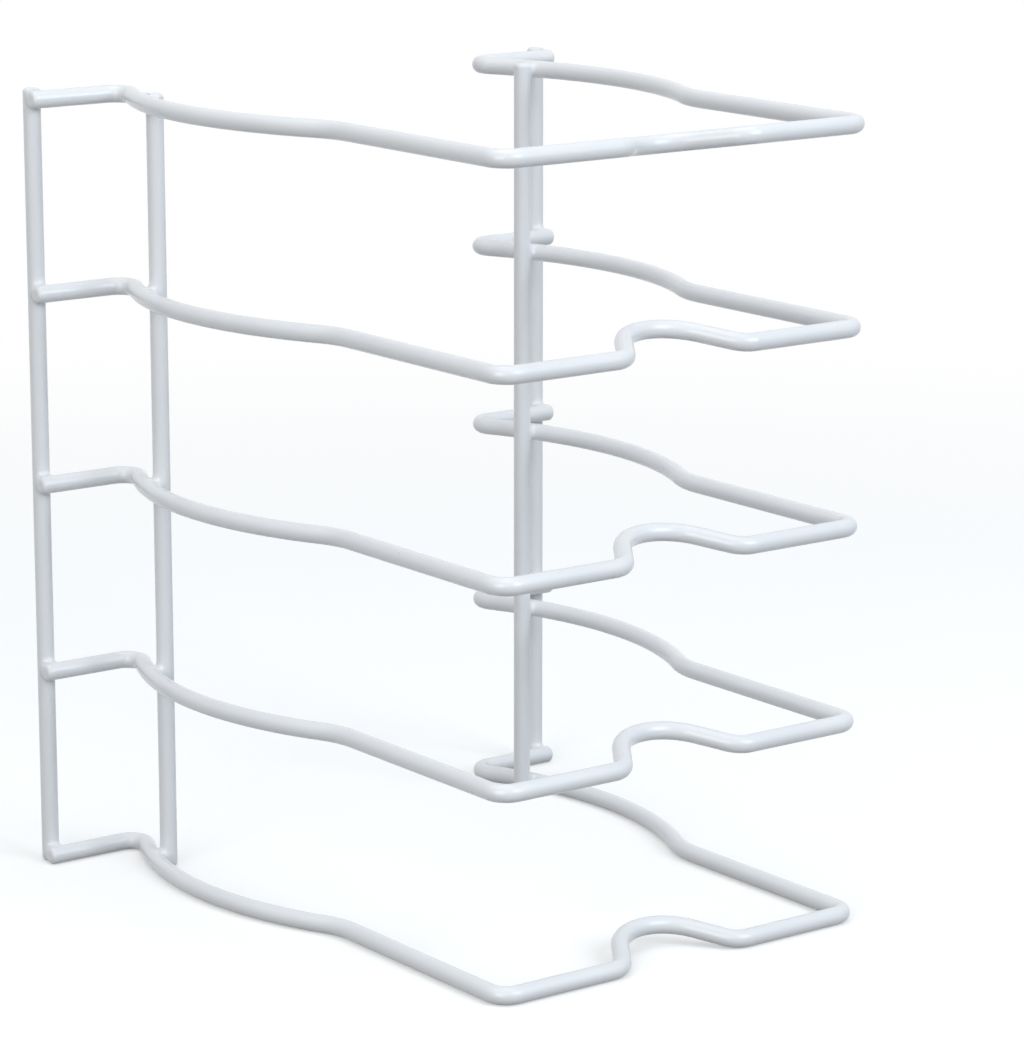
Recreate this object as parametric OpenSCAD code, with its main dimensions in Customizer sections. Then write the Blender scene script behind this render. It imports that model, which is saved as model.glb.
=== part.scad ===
// Five-tier pot lid rack in coated steel wire.
// Nine wires: five bent shelf wires, all to one pattern, welded to four straight posts at the back.
// The front rail faces -Y, the posts stand at +Y and the bottom tier rests on Z = 0.

/* [Wire] */
// Diameter of the coated wire
wire_d = 6; // [5:0.5:7]
// How far two wires sink into each other at a weld
weld_set = 1; // [0.6:0.1:1.4]
// Diameter of the bead of weld and coating where two wires cross
bead_d = 5; // [4:0.5:6]

/* [Tiers] */
// Rise from one tier to the next, centre to centre
tier_gap = 66; // [50:1:80]
// Width of the front rail between the arms' centre lines
rail_w = 144; // [136:1:152]
// Radius of the two front corners, at the centre line
corner_r = 6; // [5:0.5:9]
// Width across the widest part of the arms, between centre lines
belly_w = 176; // [170:1:184]
// Depth from the front rail back to the widest part of the arms
belly_depth = 150; // [146:1:154]
// Radius of the long curve of each arm
belly_r = 125; // [115:1:140]
// Radius of the jog where the straight part of an arm swings outward
jog_r = 30; // [20:1:40]
// Depth from the front rail back to the wings
wing_depth = 214; // [208:1:220]
// Radius of the hooked bend between an arm and its wing, at the centre line
hook_r = 6; // [5:0.5:8]
// Width from wing tip to wing tip
wing_span = 219; // [212:1:228]

/* [Front notch] */
// Width of the notch between the centre lines of its sides
notch_w = 31.5; // [28:0.5:38]
// Depth of the notch behind the front rail
notch_depth = 28; // [25:1:36]
// Radius of the bends that lead into the notch
notch_bend_r = 8; // [5:0.5:10]
// Angle by which the top tier's notch dips below its rail
top_notch_dip = 9.5; // [0:0.5:12]

/* [Posts] */
// Distance of the inner posts' centres in front of the wings
inner_post_set = 26; // [20:1:34]
// How far the inner posts end below the top of the top wire
inner_post_under = 0.5; // [0:0.1:1.5]
// Distance of each outer post's centre in from the wing tip
outer_post_inset = 3.5; // [3:0.5:8]
// Height of the outer posts above the top wire
outer_post_over = 0.5; // [0:0.5:4]
// Rounding of the cut ends of the wires
end_round = 1.5; // [0.5:0.1:2]

/* [Hidden] */
$fa = 5;
$fs = 0.8;

coating = [0.94, 0.95, 0.97];
seam_swell = 0.01;
tiers = 5;
wire_r = wire_d / 2;
rail_half = rail_w / 2;
tip_x = wing_span / 2;
stack_h = (tiers - 1) * tier_gap + wire_d;

// The arm is a chain of tangent arcs: jog, belly and hook.
belly_x = belly_w / 2 - belly_r;
jog_x = rail_half + jog_r;
jog_turn = acos((jog_x - belly_x) / (belly_r + jog_r));
jog_depth = belly_depth - (belly_r + jog_r) * sin(jog_turn);
hook_depth = wing_depth - hook_r;
hook_turn = asin((hook_depth - belly_depth) / (belly_r + hook_r));
hook_x = belly_x + (belly_r + hook_r) * cos(hook_turn);

// Crossing wires lie one diameter apart, less what they sink in.
cross_gap = wire_d - weld_set;
inner_post_depth = wing_depth - inner_post_set;
inner_turn = asin((inner_post_depth - belly_depth) / (belly_r - cross_gap));
inner_post = [belly_x + (belly_r - cross_gap) * cos(inner_turn), inner_post_depth];
inner_weld = [belly_x + (belly_r - cross_gap / 2) * cos(inner_turn),
              belly_depth + (belly_r - cross_gap / 2) * sin(inner_turn)];
outer_post = [tip_x - outer_post_inset, wing_depth + cross_gap];
outer_weld = [outer_post.x, wing_depth + cross_gap / 2];

notch_half = notch_w / 2;
notch_foot = notch_half + notch_bend_r;
crown_depth = notch_depth - notch_half;
mid_depth = outer_post.y / 2;

function tier_z(level) = wire_r + (tiers - level) * tier_gap;

// Half the outline of a straight wire, with a rounded corner at one end or both
module wire_outline(length, round_low, round_high) {
    difference() {
        square([wire_r, length]);
        if (round_low)
            translate([wire_r - end_round, end_round])
                rotate(-90)
                    corner_waste();
        if (round_high)
            translate([wire_r - end_round, length - end_round])
                corner_waste();
    }
}

// What a rounded corner loses: a square less a quarter disc
module corner_waste() {
    difference() {
        square(2 * end_round);
        circle(end_round);
    }
}

// A straight wire that stands on the origin
module straight_wire(length, round_low = false, round_high = false) {
    rotate_extrude()
        wire_outline(length, round_low, round_high);
}

// A straight wire in the plane of a tier
module run(start, end, round_end = false) {
    way = end - start;
    translate([start.x, start.y, 0])
        rotate([0, 90, atan2(way.y, way.x)])
            straight_wire(norm(way), round_high = round_end);
}

// A bent wire in the plane of a tier, from one angle round to another
module bend(centre, radius, start_angle, end_angle) {
    translate([centre.x, centre.y, 0])
        rotate(start_angle)
            rotate_extrude(angle = end_angle - start_angle)
                translate([radius, 0])
                    circle(d = wire_d);
}

// A ball a hair wider than the wire, which closes the seam where two bends meet at an odd angle.
// Its poles lie along the wire, so that what shows of it is a plain ring.
module seam(x, depth, heading) {
    translate([x, depth, 0])
        rotate([0, 90, heading])
            sphere(d = wire_d + seam_swell);
}

// The right half of a shelf wire, from the notch round to the wing tip
module side_wire() {
    seam(notch_foot, 0, 0);
    run([notch_foot, 0], [rail_half - corner_r, 0]);
    bend([rail_half - corner_r, corner_r], corner_r, -90, 0);
    run([rail_half, corner_r], [rail_half, jog_depth]);
    bend([jog_x, jog_depth], jog_r, 180, 180 - jog_turn);
    bend([belly_x, belly_depth], belly_r, -jog_turn, hook_turn);
    for (turn = [-jog_turn, hook_turn])
        seam(belly_x + belly_r * cos(turn), belly_depth + belly_r * sin(turn), turn + 90);
    bend([hook_x, hook_depth], hook_r, 90, 180 + hook_turn);
    run([hook_x, wing_depth], [tip_x, wing_depth], round_end = true);
}

// The U notch in the middle of the front rail
module front_notch() {
    bend([0, crown_depth], notch_half, 0, 180);
    for (side = [0, 1])
        mirror([side, 0, 0]) {
            run([notch_half, notch_bend_r], [notch_half, crown_depth]);
            bend([notch_foot, notch_bend_r], notch_bend_r, 180, 270);
        }
}

// The bead of one weld
module bead(weld) {
    translate([weld.x, weld.y, 0])
        sphere(d = bead_d);
}

// The seats that the right-hand posts leave in a shelf wire
module post_seats() {
    for (post = [inner_post, outer_post])
        translate([post.x, post.y, -wire_d])
            cylinder(d = wire_d, h = 2 * wire_d);
    bead(inner_weld);
    bead(outer_weld);
}

// A whole shelf wire at its level, counted from the top
module shelf_wire(level, notch_dip = 0) {
    translate([0, -mid_depth, tier_z(level)])
        difference() {
            union() {
                rotate([-notch_dip, 0, 0])
                    front_notch();
                for (side = [0, 1])
                    mirror([side, 0, 0])
                        side_wire();
            }
            for (side = [0, 1])
                mirror([side, 0, 0])
                    post_seats();
        }
}

// A right-hand post with a weld bead at every tier
module post(place, weld, height) {
    translate([0, -mid_depth, 0]) {
        translate([place.x, place.y, 0])
            straight_wire(height, round_low = true, round_high = true);
        for (level = [1 : tiers])
            translate([0, 0, tier_z(level)])
                bead(weld);
    }
}

module inner_upright() {
    post(inner_post, inner_weld, stack_h - inner_post_under);
}

module outer_upright() {
    post(outer_post, outer_weld, stack_h + outer_post_over);
}

module tier_1() {
    color(coating)
        shelf_wire(1, top_notch_dip);
}

module tier_2() {
    color(coating)
        shelf_wire(2);
}

module tier_3() {
    color(coating)
        shelf_wire(3);
}

module tier_4() {
    color(coating)
        shelf_wire(4);
}

module tier_5() {
    color(coating)
        shelf_wire(5);
}

module post_inner_left() {
    color(coating)
        mirror([1, 0, 0])
            inner_upright();
}

module post_inner_right() {
    color(coating)
        inner_upright();
}

module post_outer_left() {
    color(coating)
        mirror([1, 0, 0])
            outer_upright();
}

module post_outer_right() {
    color(coating)
        outer_upright();
}

tier_1();
tier_2();
tier_3();
tier_4();
tier_5();
post_inner_left();
post_inner_right();
post_outer_left();
post_outer_right();
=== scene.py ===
# Five-tier pot lid rack: smooth coated wire, with the coating drawn into every weld.
import math

import bpy
import numpy as np
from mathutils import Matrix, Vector


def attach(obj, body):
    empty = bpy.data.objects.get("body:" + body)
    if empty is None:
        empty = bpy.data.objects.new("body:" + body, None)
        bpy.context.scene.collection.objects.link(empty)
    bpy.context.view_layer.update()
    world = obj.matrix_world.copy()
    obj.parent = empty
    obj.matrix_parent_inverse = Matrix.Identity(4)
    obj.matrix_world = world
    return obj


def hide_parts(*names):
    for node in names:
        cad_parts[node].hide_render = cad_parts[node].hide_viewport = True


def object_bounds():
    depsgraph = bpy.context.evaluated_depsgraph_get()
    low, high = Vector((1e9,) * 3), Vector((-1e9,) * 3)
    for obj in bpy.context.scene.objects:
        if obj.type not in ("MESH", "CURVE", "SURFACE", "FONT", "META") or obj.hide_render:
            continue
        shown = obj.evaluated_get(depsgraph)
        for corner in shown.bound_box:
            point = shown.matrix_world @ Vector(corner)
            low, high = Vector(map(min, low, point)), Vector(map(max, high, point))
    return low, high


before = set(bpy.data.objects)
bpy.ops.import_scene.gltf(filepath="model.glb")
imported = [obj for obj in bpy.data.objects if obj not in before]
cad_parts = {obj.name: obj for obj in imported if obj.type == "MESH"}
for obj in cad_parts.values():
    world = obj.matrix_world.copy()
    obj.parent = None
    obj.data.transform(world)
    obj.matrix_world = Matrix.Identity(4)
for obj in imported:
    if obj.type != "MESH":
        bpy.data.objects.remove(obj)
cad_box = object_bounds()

MM = 0.001

# The wire and its tiers, in millimetres, as the frame has them
WIRE_R = 3.0
WELD_SET = 1.0
TIERS = 5
TIER_GAP = 66.0
RAIL_HALF = 72.0
CORNER_R = 6.0
BELLY_HALF = 88.0
BELLY_DEPTH = 150.0
BELLY_R = 125.0
JOG_R = 30.0
WING_DEPTH = 214.0
HOOK_R = 6.0
TIP_X = 109.5
INNER_POST_SET = 26.0
INNER_POST_UNDER = 0.5
OUTER_POST_INSET = 3.5
OUTER_POST_OVER = 0.5
END_ROUND = 1.5

# The front notch as the photo shows it: flared, wider and less deep than the frame's. The lower four
# are bent up a little and the top one dips out of sight. Flare, rise and dip are in degrees.
CROWN_R = 18.5
NOTCH_DEPTH = 20.5
NOTCH_FLARE = 34.0
NOTCH_BEND_R = 8.0
NOTCH_RISE = 11.0
TOP_NOTCH_DIP = 9.5

# How finely the wires are cut up: sides round a wire, steps along it in millimetres, the fewest steps
# in a bend and the rings of a rounded end
SIDES = 48
COARSE = 2.5
MEDIUM = 0.9
FINE = 0.35
FEWEST_STEPS = 6
END_RINGS = 8

# The coating that runs into a weld, in millimetres: the size of its fillet, how deep in the other wire a
# vertex may lie and still be moved, and how far from the weld vertices are moved
FILLET = 2.4
HIDDEN = 0.25
WELD_REACH = 8.0

# How often a vertex is pushed towards the fillet, and the least squared slope that a push divides by
PUSHES = 6
LEAST_STEEPNESS = 0.25

# Derived places, by the formulas of the frame's source. Turns are in degrees.
BELLY_X = BELLY_HALF - BELLY_R
JOG_X = RAIL_HALF + JOG_R
JOG_TURN = math.degrees(math.acos((JOG_X - BELLY_X) / (BELLY_R + JOG_R)))
JOG_DEPTH = BELLY_DEPTH - (BELLY_R + JOG_R) * math.sin(math.radians(JOG_TURN))
HOOK_DEPTH = WING_DEPTH - HOOK_R
HOOK_TURN = math.degrees(math.asin((HOOK_DEPTH - BELLY_DEPTH) / (BELLY_R + HOOK_R)))
HOOK_X = BELLY_X + (BELLY_R + HOOK_R) * math.cos(math.radians(HOOK_TURN))
CROSS_GAP = 2 * WIRE_R - WELD_SET
INNER_DEPTH = WING_DEPTH - INNER_POST_SET
INNER_TURN = math.degrees(math.asin((INNER_DEPTH - BELLY_DEPTH) / (BELLY_R - CROSS_GAP)))
INNER_POST = (BELLY_X + (BELLY_R - CROSS_GAP) * math.cos(math.radians(INNER_TURN)), INNER_DEPTH)
OUTER_POST = (TIP_X - OUTER_POST_INSET, WING_DEPTH + CROSS_GAP)
MID_DEPTH = OUTER_POST[1] / 2
STACK_H = (TIERS - 1) * TIER_GAP + 2 * WIRE_R
INNER_H = STACK_H - INNER_POST_UNDER
OUTER_H = STACK_H + OUTER_POST_OVER

# Derived places of the notch: where its crown ends, where its side meets the bend, and its foot
FLARE_SIN, FLARE_COS = math.sin(math.radians(NOTCH_FLARE)), math.cos(math.radians(NOTCH_FLARE))
CROWN_DEPTH = NOTCH_DEPTH - CROWN_R
CROWN_END = (CROWN_R * FLARE_COS, CROWN_DEPTH + CROWN_R * FLARE_SIN)
FOOT_START_DEPTH = NOTCH_BEND_R * (1 - FLARE_SIN)
SIDE_OUT = (CROWN_END[1] - FOOT_START_DEPTH) * FLARE_SIN / FLARE_COS
NOTCH_FOOT = CROWN_END[0] + SIDE_OUT + NOTCH_BEND_R * FLARE_COS


def tier_z(level):
    """Height of a shelf wire's centre line. Level 1 is the top one."""
    return WIRE_R + (TIERS - level) * TIER_GAP


# Centre lines

def line(start, end, step):
    """Points and headings along a straight run in the plane of a tier."""
    start, end = np.array(start, float), np.array(end, float)
    length = np.linalg.norm(end - start)
    t = np.linspace(0, 1, max(int(math.ceil(length / step)), 1) + 1)
    heading = (end - start) / length
    return start + t[:, None] * (end - start), np.tile(heading, (len(t), 1))


def arc(centre, radius, start, end, step):
    """Points and headings round a bend, from one angle to another in degrees."""
    a, b = math.radians(start), math.radians(end)
    t = np.linspace(a, b, max(int(math.ceil(abs(b - a) * radius / step)), FEWEST_STEPS) + 1)
    way = math.copysign(1, b - a)
    points = np.array(centre, float) + radius * np.c_[np.cos(t), np.sin(t)]
    return points, way * np.c_[-np.sin(t), np.cos(t)]


def joined(runs):
    """One centre line from runs that meet end to end."""
    points = [runs[0][0]] + [p[1:] for p, _ in runs[1:]]
    headings = [runs[0][1]] + [h[1:] for _, h in runs[1:]]
    return np.vstack(points), np.vstack(headings)


def half_shelf():
    """The right half of a shelf wire, from the crown of the notch to the wing tip."""
    belly = (BELLY_X, BELLY_DEPTH)
    near_inner = INNER_TURN - math.degrees(WELD_REACH / BELLY_R)
    near_outer = OUTER_POST[0] - WELD_REACH
    return joined([
        arc((0, CROWN_DEPTH), CROWN_R, 90, NOTCH_FLARE, MEDIUM),
        line(CROWN_END, (CROWN_END[0] + SIDE_OUT, FOOT_START_DEPTH), COARSE),
        arc((NOTCH_FOOT, NOTCH_BEND_R), NOTCH_BEND_R, 180 + NOTCH_FLARE, 270, MEDIUM / 2),
        line((NOTCH_FOOT, 0), (RAIL_HALF - CORNER_R, 0), COARSE),
        arc((RAIL_HALF - CORNER_R, CORNER_R), CORNER_R, -90, 0, MEDIUM / 2),
        line((RAIL_HALF, CORNER_R), (RAIL_HALF, JOG_DEPTH), COARSE),
        arc((JOG_X, JOG_DEPTH), JOG_R, 180, 180 - JOG_TURN, MEDIUM),
        arc(belly, BELLY_R, -JOG_TURN, near_inner, 2 * MEDIUM),
        arc(belly, BELLY_R, near_inner, HOOK_TURN, FINE),
        arc((HOOK_X, HOOK_DEPTH), HOOK_R, 180 + HOOK_TURN, 90, FINE),
        line((HOOK_X, WING_DEPTH), (near_outer, WING_DEPTH), COARSE),
        line((near_outer, WING_DEPTH), (TIP_X - END_ROUND, WING_DEPTH), FINE),
    ])


def shelf_line(level, dip):
    """The whole centre line of a shelf wire, left wing tip to right, its notch dipped by some degrees."""
    right, heading = half_shelf()
    flip = np.array([-1.0, 1.0])
    points = np.vstack([(right * flip)[:0:-1], right])
    headings = np.vstack([(heading * flip * -1)[:0:-1], heading])
    points = np.c_[points, np.zeros(len(points))]
    headings = np.c_[headings, np.zeros(len(headings))]
    inside = np.abs(points[:, 0]) < NOTCH_FOOT
    c, s = math.cos(math.radians(dip)), math.sin(math.radians(dip))
    for rows in (points, headings):
        depth = rows[inside, 1].copy()
        rows[inside, 1] = depth * c
        rows[inside, 2] = -depth * s
    return points + [0, -MID_DEPTH, tier_z(level)], headings


def cut_up(low, high, step):
    """Heights from one to the other, without the last."""
    return list(np.linspace(low, high, int((high - low) / step) + 2)[:-1])


def post_line(x, y, height):
    """The centre line of a post, cut finely wherever a shelf wire crosses it."""
    heights = []
    at = END_ROUND
    for level in range(TIERS, 0, -1):
        low = max(tier_z(level) - WELD_REACH, END_ROUND)
        high = min(tier_z(level) + WELD_REACH, height - END_ROUND)
        if low > at:
            heights += cut_up(at, low, COARSE)
        heights += cut_up(low, high, FINE)
        at = high
    z = np.array(heights + [height - END_ROUND])
    points = np.c_[np.full(len(z), x), np.full(len(z), y - MID_DEPTH), z]
    return points, np.tile([0.0, 0.0, 1.0], (len(z), 1))


# Tubes

def with_ends(points, headings):
    """Adds the rounded ends: each ring's place, heading and radius."""
    turn = np.linspace(0, math.pi / 2, END_RINGS + 1)[1:]
    out = END_ROUND * np.sin(turn)
    radius = WIRE_R - END_ROUND * (1 - np.cos(turn))
    last = points[-1] + out[:, None] * headings[-1]
    first = points[0] - out[::-1, None] * headings[0]
    where = np.vstack([first, points, last])
    along = np.vstack([np.tile(headings[0], (END_RINGS, 1)), headings,
                       np.tile(headings[-1], (END_RINGS, 1))])
    size = np.r_[radius[::-1], np.full(len(points), WIRE_R), radius]
    return where, along, size


def tube(points, headings, up):
    """Vertices and faces of a round wire with rounded ends along a centre line."""
    where, along, size = with_ends(points, headings)
    side = np.cross(along, np.array(up, float))
    side /= np.linalg.norm(side, axis=1)[:, None]
    top = np.cross(side, along)
    angle = np.linspace(0, 2 * math.pi, SIDES, endpoint=False)
    rings = (where[:, None, :]
             + size[:, None, None] * (np.cos(angle)[None, :, None] * side[:, None, :]
                                      + np.sin(angle)[None, :, None] * top[:, None, :]))
    count = len(where)
    verts = np.vstack([rings.reshape(-1, 3), where[0], where[-1]])
    faces = []
    for ring in range(count - 1):
        for k in range(SIDES):
            j = (k + 1) % SIDES
            faces.append((ring * SIDES + k, ring * SIDES + j,
                          (ring + 1) * SIDES + j, (ring + 1) * SIDES + k))
    start, end = count * SIDES, count * SIDES + 1
    last = (count - 1) * SIDES
    for k in range(SIDES):
        j = (k + 1) % SIDES
        faces.append((start, j, k))
        faces.append((end, last + k, last + j))
    return verts, faces


# Welds: distance to each wire, and the smooth union of two of them

def rounded_rod(across, beyond):
    """Distance to a rod with rounded ends, from the distance to its axis and beyond its end."""
    x = across - (WIRE_R - END_ROUND)
    y = beyond + END_ROUND
    outside = np.hypot(np.maximum(x, 0), np.maximum(y, 0))
    return outside + np.minimum(np.maximum(x, y), 0) - END_ROUND


def wing_field(side, level):
    """Distance to the straight wing of a shelf wire."""
    def field(p):
        across = np.hypot(p[:, 1] - (WING_DEPTH - MID_DEPTH), p[:, 2] - tier_z(level))
        return rounded_rod(across, side * p[:, 0] - TIP_X)
    return field


def belly_field(side, level):
    """Distance to the long curve of a shelf wire's arm."""
    def field(p):
        around = np.hypot(side * p[:, 0] - BELLY_X, p[:, 1] - (BELLY_DEPTH - MID_DEPTH))
        return np.hypot(around - BELLY_R, p[:, 2] - tier_z(level)) - WIRE_R
    return field


def post_field(side, place, height):
    """Distance to a post."""
    def field(p):
        across = np.hypot(side * p[:, 0] - place[0], p[:, 1] - (place[1] - MID_DEPTH))
        return rounded_rod(across, np.maximum(-p[:, 2], p[:, 2] - height))
    return field


def smooth_union(a, b):
    """Distance to two wires with a fillet between them, from the distance to each."""
    near = np.maximum(FILLET - np.abs(a - b), 0) / FILLET
    return np.minimum(a, b) - near * near * FILLET / 4


def slope(field, p):
    """Which way a field grows fastest, and how steeply, at each point."""
    tiny = 0.01
    out = np.empty_like(p)
    for axis in range(3):
        step = np.zeros(3)
        step[axis] = tiny
        out[:, axis] = (field(p + step) - field(p - step)) / (2 * tiny)
    return out


def draw_in(verts, own, other, weld):
    """Pushes the vertices of one wire near a weld out onto the smooth union of both wires."""
    near = np.linalg.norm(verts - weld, axis=1) < WELD_REACH
    near &= (other(verts) > -HIDDEN) & (other(verts) < FILLET)
    p = verts[near]

    def blended(q):
        return smooth_union(own(q), other(q))

    for _ in range(PUSHES):
        grow = slope(blended, p)
        steep = np.maximum((grow * grow).sum(axis=1), LEAST_STEEPNESS)
        p = p - (np.minimum(blended(p), 0) / steep)[:, None] * grow
    verts[near] = p


def welds(side, level):
    """The two welds of one side at one level: the place, the shelf's field and the post's."""
    inner = np.array([side * (INNER_POST[0] + CROSS_GAP / 2), INNER_POST[1] - MID_DEPTH, tier_z(level)])
    outer = np.array([side * OUTER_POST[0], OUTER_POST[1] - CROSS_GAP / 2 - MID_DEPTH, tier_z(level)])
    return {
        "inner": (inner, belly_field(side, level), post_field(side, INNER_POST, INNER_H)),
        "outer": (outer, wing_field(side, level), post_field(side, OUTER_POST, OUTER_H)),
    }


# Pieces

def keep_in_box(verts):
    """Holds vertices, in millimetres, inside the box of the CAD model."""
    low, high = (np.array(c) / MM for c in cad_box)
    return np.clip(verts, low, high)


def piece(name, verts, faces, node, material):
    """A smooth mesh that stands for one node of the frame."""
    mesh = bpy.data.meshes.new(name)
    mesh.from_pydata((keep_in_box(verts) * MM).tolist(), [], faces)
    mesh.shade_smooth()
    mesh.materials.append(material)
    obj = bpy.data.objects.new(name, mesh)
    bpy.context.scene.collection.objects.link(obj)
    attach(obj, "root")
    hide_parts(node)


def shelf_piece(level, material):
    dip = TOP_NOTCH_DIP if level == 1 else -NOTCH_RISE
    verts, faces = tube(*shelf_line(level, dip), up=(0, 0, 1))
    for side in (-1, 1):
        for weld, shelf, post in welds(side, level).values():
            draw_in(verts, shelf, post, weld)
    piece(f"shelf_wire_{level}", verts, faces, f"tier_{level}", material)


def post_piece(kind, side, material):
    place, height = (INNER_POST, INNER_H) if kind == "inner" else (OUTER_POST, OUTER_H)
    verts, faces = tube(*post_line(side * place[0], place[1], height), up=(0, 1, 0))
    for level in range(1, TIERS + 1):
        weld, shelf, post = welds(side, level)[kind]
        draw_in(verts, post, shelf, weld)
    hand = "left" if side < 0 else "right"
    piece(f"post_wire_{kind}_{hand}", verts, faces, f"post_{kind}_{hand}", material)


def add_rack(material):
    for level in range(1, TIERS + 1):
        shelf_piece(level, material)
    for kind in ("inner", "outer"):
        for side in (-1, 1):
            post_piece(kind, side, material)


# Shader nodes

def new_material(name):
    material = bpy.data.materials.new(name)
    material.use_nodes = True
    material.node_tree.nodes.clear()
    return material, material.node_tree.nodes, material.node_tree.links


def noise(nodes, links, coord, scale, detail, roughness=0.5):
    node = nodes.new("ShaderNodeTexNoise")
    node.inputs["Scale"].default_value = scale
    node.inputs["Detail"].default_value = detail
    node.inputs["Roughness"].default_value = roughness
    links.new(coord, node.inputs["Vector"])
    return node.outputs["Fac"]


def ramp(nodes, links, fac, stops):
    """A colour for each value, between two stops of a position and a colour."""
    node = nodes.new("ShaderNodeValToRGB")
    node.color_ramp.elements[0].position, node.color_ramp.elements[0].color = stops[0]
    node.color_ramp.elements[1].position, node.color_ramp.elements[1].color = stops[1]
    links.new(fac, node.inputs["Fac"])
    return node.outputs["Color"]


def between(nodes, links, fac, low, high):
    """A value from nought to one, spread between two others."""
    node = nodes.new("ShaderNodeMapRange")
    node.inputs["To Min"].default_value = low
    node.inputs["To Max"].default_value = high
    links.new(fac, node.inputs["Value"])
    return node.outputs["Result"]


def bump(nodes, links, height, strength, distance, under=None):
    node = nodes.new("ShaderNodeBump")
    node.inputs["Strength"].default_value = strength
    node.inputs["Distance"].default_value = distance
    links.new(height, node.inputs["Height"])
    if under is not None:
        links.new(under, node.inputs["Normal"])
    return node.outputs["Normal"]


# The coating's colour: soft clouds between two whites, and a few fine specks. Scales are per metre.
CLOUD_SCALE = 30.0
CLOUD_DETAIL = 2.0
CLOUD_WHITES = [(0.30, (0.825, 0.84, 0.87, 1)), (0.70, (0.865, 0.877, 0.90, 1))]
SPECK_SCALE = 420.0
SPECK_DETAIL = 2.0
SPECK_CRISPNESS = 0.6
SPECK_TINTS = [(0.75, (1, 1, 1, 1)), (0.82, (0.80, 0.78, 0.76, 1))]

# Its gloss: an even clear coat over a rougher base. A base below about 0.28 left bands in the renders.
GLOSS_SCALE = 60.0
GLOSS_DETAIL = 2.0
BASE_ROUGHNESS = (0.285, 0.36)
COAT_WEIGHT = 0.50
COAT_ROUGHNESS = 0.06
COATING_IOR = 1.5

# Its relief: wide soft runs under a fine orange peel. Heights are in metres.
RUNS_SCALE = 70.0
RUNS_DETAIL = 1.0
RUNS_STRENGTH = 0.20
RUNS_HEIGHT = 0.00020
PEEL_SCALE = 1100.0
PEEL_DETAIL = 2.0
PEEL_STRENGTH = 0.08
PEEL_HEIGHT = 0.00005


def coating_colour(nodes, links, coord):
    cloud = noise(nodes, links, coord, CLOUD_SCALE, CLOUD_DETAIL)
    white = ramp(nodes, links, cloud, CLOUD_WHITES)
    speck = noise(nodes, links, coord, SPECK_SCALE, SPECK_DETAIL, SPECK_CRISPNESS)
    specked = ramp(nodes, links, speck, SPECK_TINTS)
    mix = nodes.new("ShaderNodeMix")
    mix.data_type = "RGBA"
    mix.blend_type = "MULTIPLY"
    mix.inputs["Factor"].default_value = 1.0
    links.new(white, mix.inputs["A"])
    links.new(specked, mix.inputs["B"])
    return mix.outputs["Result"]


def coating_relief(nodes, links, coord):
    soft = noise(nodes, links, coord, RUNS_SCALE, RUNS_DETAIL)
    runs = bump(nodes, links, soft, RUNS_STRENGTH, RUNS_HEIGHT)
    fine = noise(nodes, links, coord, PEEL_SCALE, PEEL_DETAIL)
    return bump(nodes, links, fine, PEEL_STRENGTH, PEEL_HEIGHT, runs)


def coating_material():
    """Glossy white coating on wire."""
    material, nodes, links = new_material("coated_wire")
    shader = nodes.new("ShaderNodeBsdfPrincipled")
    output = nodes.new("ShaderNodeOutputMaterial")
    links.new(shader.outputs["BSDF"], output.inputs["Surface"])
    coord = nodes.new("ShaderNodeTexCoord").outputs["Object"]
    gloss = noise(nodes, links, coord, GLOSS_SCALE, GLOSS_DETAIL)
    links.new(coating_colour(nodes, links, coord), shader.inputs["Base Color"])
    links.new(between(nodes, links, gloss, *BASE_ROUGHNESS), shader.inputs["Roughness"])
    links.new(coating_relief(nodes, links, coord), shader.inputs["Normal"])
    shader.inputs["Coat Weight"].default_value = COAT_WEIGHT
    shader.inputs["Coat Roughness"].default_value = COAT_ROUGHNESS
    shader.inputs["IOR"].default_value = COATING_IOR
    return material


def seen_directly(nodes, links):
    """One for camera, glossy and transmission rays, so that they all see the same backdrop."""
    path = nodes.new("ShaderNodeLightPath")
    total = path.outputs["Is Camera Ray"]
    for name in ("Is Glossy Ray", "Is Transmission Ray"):
        most = nodes.new("ShaderNodeMath")
        most.operation = "MAXIMUM"
        links.new(total, most.inputs[0])
        links.new(path.outputs[name], most.inputs[1])
        total = most.outputs["Value"]
    return total


# The floor, with lengths in metres: half its width, its colour and lift as seen, its colour for the
# light that it throws back up, and where its fade to white starts and ends
FLOOR_HALF = 14.0
FLOOR_COLOUR = (0.80, 0.80, 0.80, 1)
FLOOR_LIFT = 0.36
FLOOR_BOUNCE = (0.147, 0.15, 0.155, 1)
FLOOR_FADE = (0.40, 1.10)


def away_from_rack(nodes, links):
    """Nought under the rack and one far from it, by distance along the floor."""
    coord = nodes.new("ShaderNodeTexCoord")
    length = nodes.new("ShaderNodeVectorMath")
    length.operation = "LENGTH"
    fade = nodes.new("ShaderNodeMapRange")
    fade.interpolation_type = "SMOOTHSTEP"
    fade.inputs["From Min"].default_value, fade.inputs["From Max"].default_value = FLOOR_FADE
    links.new(coord.outputs["Object"], length.inputs[0])
    links.new(length.outputs["Value"], fade.inputs["Value"])
    return fade.outputs["Result"]


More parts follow.
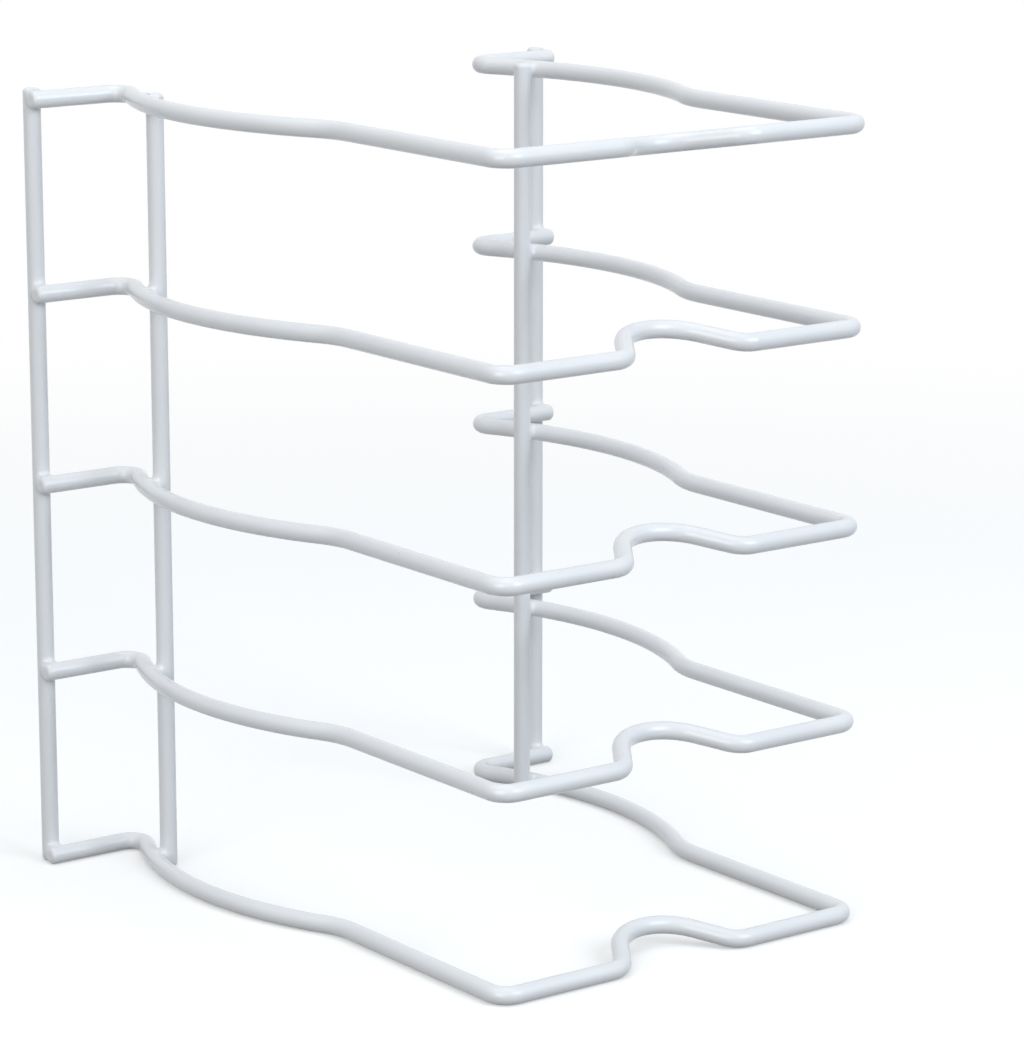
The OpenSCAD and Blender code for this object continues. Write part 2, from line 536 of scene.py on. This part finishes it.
def floor_material():
    """Pale floor that keeps the shadow, fades to white and throws little light back up."""
    material, nodes, links = new_material("pale_floor")
    output = nodes.new("ShaderNodeOutputMaterial")
    pale = nodes.new("ShaderNodeBsdfDiffuse")
    pale.inputs["Color"].default_value = FLOOR_COLOUR
    lift = nodes.new("ShaderNodeEmission")
    lift.inputs["Strength"].default_value = FLOOR_LIFT
    lit = nodes.new("ShaderNodeAddShader")
    white = nodes.new("ShaderNodeEmission")
    shown = nodes.new("ShaderNodeMixShader")
    bounce = nodes.new("ShaderNodeBsdfDiffuse")
    bounce.inputs["Color"].default_value = FLOOR_BOUNCE
    mix = nodes.new("ShaderNodeMixShader")
    links.new(pale.outputs["BSDF"], lit.inputs[0])
    links.new(lift.outputs["Emission"], lit.inputs[1])
    links.new(away_from_rack(nodes, links), shown.inputs["Fac"])
    links.new(lit.outputs["Shader"], shown.inputs[1])
    links.new(white.outputs["Emission"], shown.inputs[2])
    links.new(seen_directly(nodes, links), mix.inputs["Fac"])
    links.new(bounce.outputs["BSDF"], mix.inputs[1])
    links.new(shown.outputs["Shader"], mix.inputs[2])
    links.new(mix.outputs["Shader"], output.inputs["Surface"])
    return material


def add_floor():
    mesh = bpy.data.meshes.new("floor")
    corners = [(x * FLOOR_HALF, y * FLOOR_HALF, 0) for x, y in ((-1, -1), (1, -1), (1, 1), (-1, 1))]
    mesh.from_pydata(corners, [], [(0, 1, 2, 3)])
    mesh.materials.append(floor_material())
    floor = bpy.data.objects.new("floor", mesh)
    floor.location.z = cad_box[0].z
    bpy.context.scene.collection.objects.link(floor)


# Studio light. Each lamp has its place and width in metres, its power in watts and its colour.
FILL_COLOUR = (0.89, 0.95, 1.0, 1)
FILL_STRENGTH = 0.43
BACKDROP_COLOUR = (1, 1, 1, 1)
LAMP_AIM = (0, 0, 0.13)
LAMPS = {
    "key": ((0.50, -1.70, 1.20), 1.2, 18.5, (0.86, 0.94, 1.0)),
    "side": ((-1.60, -0.90, 0.75), 1.2, 13.5, (1.0, 0.985, 0.96)),
    "overhead": ((0.0, 0.1, 1.9), 1.4, 7.0, (1.0, 0.99, 0.98)),
}


def set_world():
    """Even cool fill, with a white backdrop for what sees it directly."""
    world = bpy.data.worlds.new("studio")
    world.use_nodes = True
    nodes, links = world.node_tree.nodes, world.node_tree.links
    nodes.clear()
    output = nodes.new("ShaderNodeOutputWorld")
    fill = nodes.new("ShaderNodeBackground")
    fill.inputs["Color"].default_value = FILL_COLOUR
    fill.inputs["Strength"].default_value = FILL_STRENGTH
    white = nodes.new("ShaderNodeBackground")
    white.inputs["Color"].default_value = BACKDROP_COLOUR
    mix = nodes.new("ShaderNodeMixShader")
    links.new(seen_directly(nodes, links), mix.inputs["Fac"])
    links.new(fill.outputs["Background"], mix.inputs[1])
    links.new(white.outputs["Background"], mix.inputs[2])
    links.new(mix.outputs["Shader"], output.inputs["Surface"])
    bpy.context.scene.world = world


def aim(obj, place, target):
    obj.location = place
    obj.rotation_mode = "QUATERNION"
    obj.rotation_quaternion = (Vector(target) - Vector(place)).to_track_quat("-Z", "Y")


def add_softbox(name, place, size, watts, colour):
    lamp = bpy.data.lights.new(name, "AREA")
    lamp.shape = "SQUARE"
    lamp.size = size
    lamp.energy = watts
    lamp.color = colour
    obj = bpy.data.objects.new(name, lamp)
    bpy.context.scene.collection.objects.link(obj)
    aim(obj, place, LAMP_AIM)


def light_studio():
    set_world()
    for name, settings in LAMPS.items():
        add_softbox(name, *settings)


# Camera: where it aims and how far off it stands, in metres, how far left of the front and how high up
# in degrees, and its lens in pixels of the photo's height
CAMERA_AIM = (0.0050, -0.0116, 0.1286)
CAMERA_AWAY = 1.385
CAMERA_LEFT = 36.74
CAMERA_UP = 12.64
LENS_PIXELS = 4121.4
FRAME_HEIGHT = 1040


def add_camera():
    camera = bpy.data.cameras.new("camera")
    camera.lens = LENS_PIXELS * camera.sensor_width / FRAME_HEIGHT
    obj = bpy.data.objects.new("camera", camera)
    bpy.context.scene.collection.objects.link(obj)
    a, e = math.radians(CAMERA_LEFT), math.radians(CAMERA_UP)
    back = Vector((-math.sin(a) * math.cos(e), -math.cos(a) * math.cos(e), math.sin(e)))
    aim(obj, Vector(CAMERA_AIM) + back * CAMERA_AWAY, CAMERA_AIM)
    bpy.context.scene.camera = obj


add_rack(coating_material())
add_floor()
light_studio()
add_camera()
bpy.context.scene.view_settings.view_transform = "Standard"
